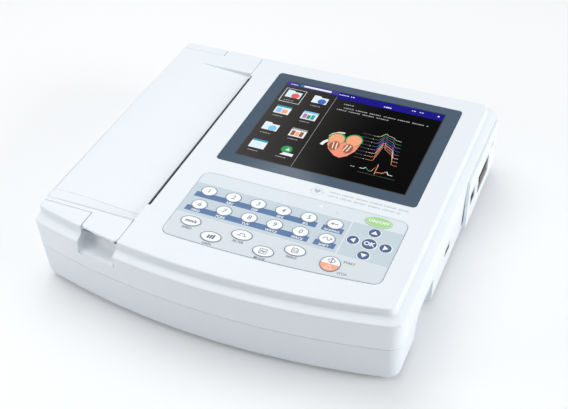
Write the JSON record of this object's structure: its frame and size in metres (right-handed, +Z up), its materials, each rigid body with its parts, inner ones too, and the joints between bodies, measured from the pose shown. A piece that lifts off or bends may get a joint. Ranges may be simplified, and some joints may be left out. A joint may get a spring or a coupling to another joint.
{
  "type": "ecg machine",
  "caption": "Desktop ECG machine with a hinged cover over a full-width thermal printer, a flat colour display and a membrane keypad on a bowed, stepped white case.",
  "frame": {"origin": "centre of the footprint on the table, under the feet", "axes": "+X to the operator's right, the keypad side faces -Y, +Z up"},
  "size_m": [0.3504, 0.335, 0.0816],
  "materials": {
    "shell_upper": "fine satin, cool white",
    "shell_lower": "fine texture, cool grey-white",
    "window": "polished, dark slate border",
    "lcd": "satin",
    "overlay": "velvet film",
    "key_white": "satin",
    "key_blue": "satin",
    "key_green": "satin",
    "key_orange": "satin",
    "board": "solder mask",
    "power_board": "bare laminate",
    "battery": "shrink sleeve",
    "tray": "moulded",
    "paper": "thermal paper",
    "spindle": "moulded",
    "gear": "acetal",
    "steel": "ground",
    "alloy": "extruded",
    "rubber": "matte",
    "black_plastic": "fine texture",
    "brass": "turned",
    "motor": "satin"
  },
  "bodies": {
    "case": {"top_shell": "shell_upper", "bottom_shell": "shell_lower", "side_port_panel": "shell_upper", "display_window": "window", "lcd_module": "lcd", "keypad_overlay": "overlay", "keypad_board": "board", "main_board": "board", "power_supply": "power_board", "battery_pack": "battery", "battery_door": "shell_lower", "paper_tray": "tray", "print_head": "alloy", "stepper_motor": "motor", "hinge_pin_front": "steel", "hinge_pin_rear": "steel", "patient_socket": "black_plastic", "network_socket": "steel", "usb_socket": "steel", "mains_inlet": "black_plastic", "earth_stud": "brass", "foot_front_left": "rubber", "foot_front_right": "rubber", "foot_rear_left": "rubber", "foot_rear_right": "rubber"},
    "cover": {"printer_cover": "shell_upper", "tear_bar": "steel", "platen_bush_front": "gear", "platen_bush_rear": "gear"},
    "platen": {"platen_roller": "rubber", "platen_shaft": "steel", "platen_gear": "gear"},
    "drive": {"drive_gear": "gear"},
    "paper": {"paper_roll": "paper", "paper_spindle": "spindle"},
    "rocker": {"power_rocker": "black_plastic"},
    "key_1": {"key_1": "key_white"},
    "key_2": {"key_2": "key_white"},
    "key_3": {"key_3": "key_white"},
    "key_4": {"key_4": "key_white"},
    "key_5": {"key_5": "key_white"},
    "key_6": {"key_6": "key_white"},
    "key_7": {"key_7": "key_white"},
    "key_8": {"key_8": "key_white"},
    "key_9": {"key_9": "key_white"},
    "key_0": {"key_0": "key_white"},
    "key_backspace": {"key_backspace": "key_white"},
    "key_shift": {"key_shift": "key_white"},
    "key_speed": {"key_speed": "key_white"},
    "key_gain": {"key_gain": "key_white"},
    "key_filter": {"key_filter": "key_white"},
    "key_mode": {"key_mode": "key_white"},
    "key_print": {"key_print": "key_white"},
    "key_start_stop": {"key_start_stop": "key_orange"},
    "key_power": {"key_power": "key_green"},
    "key_up": {"key_up": "key_blue"},
    "key_down": {"key_down": "key_blue"},
    "key_left": {"key_left": "key_blue"},
    "key_right": {"key_right": "key_blue"},
    "key_ok": {"key_ok": "key_blue"}
  },
  "joints": [
    {"name": "cover_hinge", "type": "hinge", "parent": "case", "child": "cover", "pos_m": [-0.171, 0.0095, 0.072], "axis": [0, -1, 0], "range_deg": [0, 95]},
    {"name": "paper_spin", "type": "hinge", "parent": "case", "child": "paper", "pos_m": [-0.134, 0.0114, 0.04], "axis": [0, 1, 0], "continuous": true},
    {"name": "platen_spin", "type": "hinge", "parent": "cover", "child": "platen", "pos_m": [-0.0905, 0.0114, 0.0665], "axis": [0, 1, 0], "continuous": true},
    {"name": "drive_spin", "type": "hinge", "parent": "case", "child": "drive", "pos_m": [-0.0742, 0.132, 0.06057], "axis": [0, 1, 0], "continuous": true},
    {"name": "rocker_tilt", "type": "hinge", "parent": "case", "child": "rocker", "pos_m": [0.108, 0.1605, 0.0255], "axis": [1, 0, 0], "range_deg": [0, 18]},
    {"name": "press_1", "type": "slide", "parent": "case", "child": "key_1", "axis": [0, 0, -1], "range_m": [0, 0.00025], "stiffness_N_per_m": 500, "springref_m": -0.0005},
    {"name": "press_2", "type": "slide", "parent": "case", "child": "key_2", "axis": [0, 0, -1], "range_m": [0, 0.00025], "stiffness_N_per_m": 500, "springref_m": -0.0005},
    {"name": "press_3", "type": "slide", "parent": "case", "child": "key_3", "axis": [0, 0, -1], "range_m": [0, 0.00025], "stiffness_N_per_m": 500, "springref_m": -0.0005},
    {"name": "press_4", "type": "slide", "parent": "case", "child": "key_4", "axis": [0, 0, -1], "range_m": [0, 0.00025], "stiffness_N_per_m": 500, "springref_m": -0.0005},
    {"name": "press_5", "type": "slide", "parent": "case", "child": "key_5", "axis": [0, 0, -1], "range_m": [0, 0.00025], "stiffness_N_per_m": 500, "springref_m": -0.0005},
    {"name": "press_6", "type": "slide", "parent": "case", "child": "key_6", "axis": [0, 0, -1], "range_m": [0, 0.00025], "stiffness_N_per_m": 500, "springref_m": -0.0005},
    {"name": "press_7", "type": "slide", "parent": "case", "child": "key_7", "axis": [0, 0, -1], "range_m": [0, 0.00025], "stiffness_N_per_m": 500, "springref_m": -0.0005},
    {"name": "press_8", "type": "slide", "parent": "case", "child": "key_8", "axis": [0, 0, -1], "range_m": [0, 0.00025], "stiffness_N_per_m": 500, "springref_m": -0.0005},
    {"name": "press_9", "type": "slide", "parent": "case", "child": "key_9", "axis": [0, 0, -1], "range_m": [0, 0.00025], "stiffness_N_per_m": 500, "springref_m": -0.0005},
    {"name": "press_0", "type": "slide", "parent": "case", "child": "key_0", "axis": [0, 0, -1], "range_m": [0, 0.00025], "stiffness_N_per_m": 500, "springref_m": -0.0005},
    {"name": "press_backspace", "type": "slide", "parent": "case", "child": "key_backspace", "axis": [0, 0, -1], "range_m": [0, 0.00025], "stiffness_N_per_m": 500, "springref_m": -0.0005},
    {"name": "press_shift", "type": "slide", "parent": "case", "child": "key_shift", "axis": [0, 0, -1], "range_m": [0, 0.00025], "stiffness_N_per_m": 500, "springref_m": -0.0005},
    {"name": "press_speed", "type": "slide", "parent": "case", "child": "key_speed", "axis": [0, 0, -1], "range_m": [0, 0.00025], "stiffness_N_per_m": 500, "springref_m": -0.0005},
    {"name": "press_gain", "type": "slide", "parent": "case", "child": "key_gain", "axis": [0, 0, -1], "range_m": [0, 0.00025], "stiffness_N_per_m": 500, "springref_m": -0.0005},
    {"name": "press_filter", "type": "slide", "parent": "case", "child": "key_filter", "axis": [0, 0, -1], "range_m": [0, 0.00025], "stiffness_N_per_m": 500, "springref_m": -0.0005},
    {"name": "press_mode", "type": "slide", "parent": "case", "child": "key_mode", "axis": [0, 0, -1], "range_m": [0, 0.00025], "stiffness_N_per_m": 500, "springref_m": -0.0005},
    {"name": "press_print", "type": "slide", "parent": "case", "child": "key_print", "axis": [0, 0, -1], "range_m": [0, 0.00025], "stiffness_N_per_m": 500, "springref_m": -0.0005},
    {"name": "press_start_stop", "type": "slide", "parent": "case", "child": "key_start_stop", "axis": [0, 0, -1], "range_m": [0, 0.00025], "stiffness_N_per_m": 500, "springref_m": -0.0005},
    {"name": "press_power", "type": "slide", "parent": "case", "child": "key_power", "axis": [0, 0, -1], "range_m": [0, 0.00025], "stiffness_N_per_m": 500, "springref_m": -0.0005},
    {"name": "press_up", "type": "slide", "parent": "case", "child": "key_up", "axis": [0, 0, -1], "range_m": [0, 0.00025], "stiffness_N_per_m": 500, "springref_m": -0.0005},
    {"name": "press_down", "type": "slide", "parent": "case", "child": "key_down", "axis": [0, 0, -1], "range_m": [0, 0.00025], "stiffness_N_per_m": 500, "springref_m": -0.0005},
    {"name": "press_left", "type": "slide", "parent": "case", "child": "key_left", "axis": [0, 0, -1], "range_m": [0, 0.00025], "stiffness_N_per_m": 500, "springref_m": -0.0005},
    {"name": "press_right", "type": "slide", "parent": "case", "child": "key_right", "axis": [0, 0, -1], "range_m": [0, 0.00025], "stiffness_N_per_m": 500, "springref_m": -0.0005},
    {"name": "press_ok", "type": "slide", "parent": "case", "child": "key_ok", "axis": [0, 0, -1], "range_m": [0, 0.00025], "stiffness_N_per_m": 500, "springref_m": -0.0005}
  ],
  "couplings": [
    {"joint": "drive_spin", "follows": "platen_spin", "ratio": -0.43333}
  ]
}
